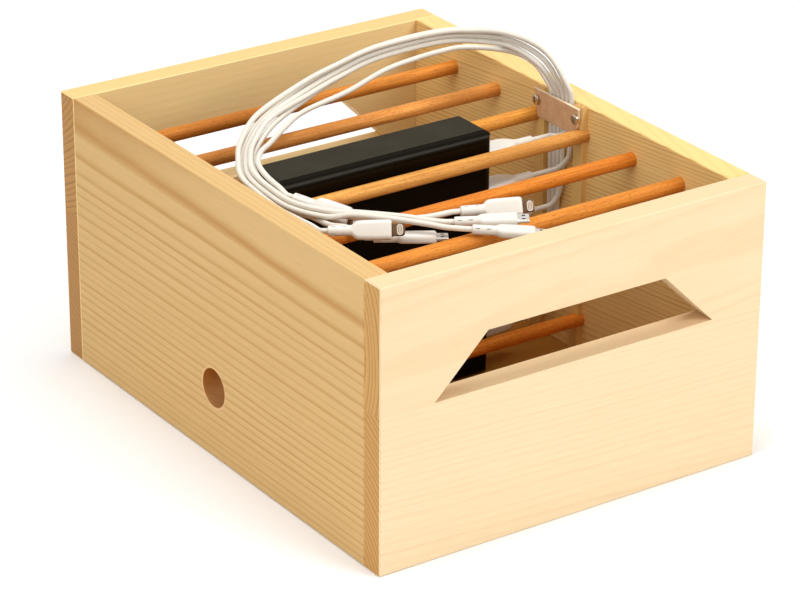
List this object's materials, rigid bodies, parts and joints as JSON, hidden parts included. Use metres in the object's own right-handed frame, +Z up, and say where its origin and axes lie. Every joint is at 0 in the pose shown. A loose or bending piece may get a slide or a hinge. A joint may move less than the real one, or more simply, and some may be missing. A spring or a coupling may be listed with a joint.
{
  "type": "charging box",
  "caption": "Open-topped wooden desk box with dowel bays for phones, a multi-port charger inside, and white charging cables led up behind a leather strap.",
  "frame": {"origin": "centre of the box's footprint, on the table", "axes": "+Z up, front board at -Y, +X to the right as seen from the front"},
  "size_m": [0.24, 0.313, 0.1869],
  "materials": {
    "pine": "pale sanded softwood with fine grain, clear matt oil",
    "beech": "warm orange-brown hardwood rod, sanded",
    "leather": "vegetable-tanned leather, undyed",
    "nickel": "polished nickel plate",
    "black_plastic": "fine satin texture",
    "board_laminate": "green laminate",
    "winding_tape": "yellow winding tape",
    "plug_metal": "drawn sheet metal",
    "white_plastic": "smooth white",
    "cable_jacket": "soft off-white jacket"
  },
  "bodies": {
    "box": {"front_upper_board": "pine", "front_lower_board": "pine", "back_upper_board": "pine", "back_lower_board": "pine", "left_side_board": "pine", "right_side_board": "pine", "floor_panel": "pine", "upper_dowel_1": "beech", "upper_dowel_2": "beech", "upper_dowel_3": "beech", "upper_dowel_4": "beech", "upper_dowel_5": "beech", "upper_dowel_6": "beech", "lower_dowels": "beech", "corner_pins": "beech", "front_batten": "pine", "back_batten": "pine", "leather_strap": "leather", "strap_screws": "nickel", "charger_housing": "black_plastic", "charger_cover": "black_plastic", "circuit_board": "board_laminate", "board_screws": "nickel", "transformer": "winding_tape", "capacitors": "black_plastic", "usb_sockets": "plug_metal", "socket_tongues": "white_plastic", "mains_inlet": "black_plastic", "inlet_pins": "nickel", "cable_1": "cable_jacket", "cable_2": "cable_jacket", "cable_3": "cable_jacket", "cable_4": "cable_jacket", "cable_5": "cable_jacket", "cable_6": "cable_jacket", "connector_1": "white_plastic", "connector_2": "white_plastic", "connector_3": "white_plastic", "connector_4": "white_plastic", "connector_5": "white_plastic", "connector_6": "white_plastic", "connector_tip_1": "plug_metal", "connector_tip_2": "plug_metal", "connector_tip_3": "plug_metal", "connector_tip_4": "plug_metal", "connector_tip_5": "plug_metal", "connector_tip_6": "plug_metal"},
    "plug_1": {"usb_plug_1": "white_plastic", "plug_tip_1": "plug_metal"},
    "plug_2": {"usb_plug_2": "white_plastic", "plug_tip_2": "plug_metal"},
    "plug_3": {"usb_plug_3": "white_plastic", "plug_tip_3": "plug_metal"},
    "plug_4": {"usb_plug_4": "white_plastic", "plug_tip_4": "plug_metal"},
    "plug_5": {"usb_plug_5": "white_plastic", "plug_tip_5": "plug_metal"},
    "plug_6": {"usb_plug_6": "white_plastic", "plug_tip_6": "plug_metal"}
  },
  "joints": [
    {"name": "plug_1_pull", "type": "slide", "parent": "box", "child": "plug_1", "axis": [1, 0, 0], "range_m": [0, 0.012]},
    {"name": "plug_2_pull", "type": "slide", "parent": "box", "child": "plug_2", "axis": [1, 0, 0], "range_m": [0, 0.012]},
    {"name": "plug_3_pull", "type": "slide", "parent": "box", "child": "plug_3", "axis": [1, 0, 0], "range_m": [0, 0.012]},
    {"name": "plug_4_pull", "type": "slide", "parent": "box", "child": "plug_4", "axis": [1, 0, 0], "range_m": [0, 0.012]},
    {"name": "plug_5_pull", "type": "slide", "parent": "box", "child": "plug_5", "axis": [1, 0, 0], "range_m": [0, 0.012]},
    {"name": "plug_6_pull", "type": "slide", "parent": "box", "child": "plug_6", "axis": [1, 0, 0], "range_m": [0, 0.012]}
  ]
}
